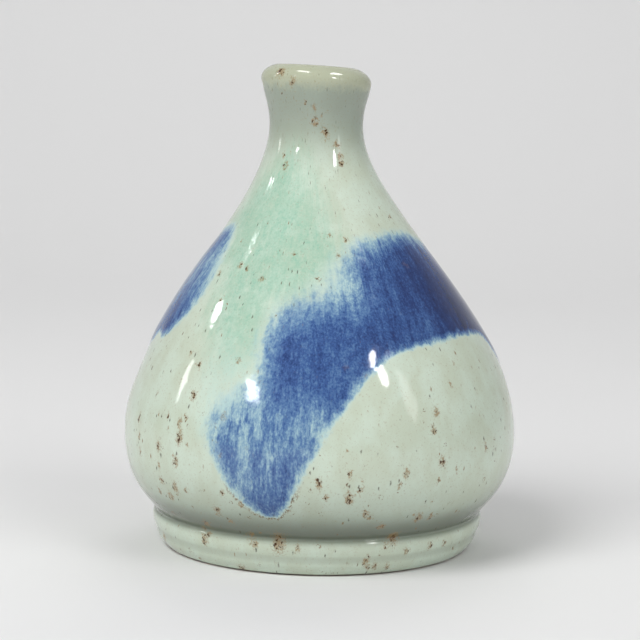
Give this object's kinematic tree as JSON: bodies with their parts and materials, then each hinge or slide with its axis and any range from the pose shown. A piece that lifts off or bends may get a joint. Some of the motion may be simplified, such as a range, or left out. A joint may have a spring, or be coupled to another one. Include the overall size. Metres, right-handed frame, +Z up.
{
  "type": "bud vase",
  "caption": "Small wheel-thrown stoneware bud vase: round belly, sloping shoulder, narrow flared neck, speckled cream glaze with a poured blue band and a green wash.",
  "frame": {"origin": "on the vase's axis, at the surface it stands on", "axes": "+Z up along the axis of turning; the long tongue of the blue glaze hangs down the front, which faces -Y"},
  "size_m": [0.1021, 0.1025, 0.125],
  "materials": {
    "fired_clay": "bare fired stoneware, matt, fine grit",
    "liner_glaze": "glossy pale glaze",
    "cream_glaze": "glossy cream glaze with iron specks",
    "green_glaze": "glossy soft green wash",
    "blue_glaze": "glossy streaked cobalt blue"
  },
  "bodies": {
    "root": {"clay_body": "fired_clay", "liner_glaze": "liner_glaze", "cream_glaze": "cream_glaze", "green_glaze": "green_glaze", "blue_glaze": "blue_glaze"}
  },
  "joints": []
}
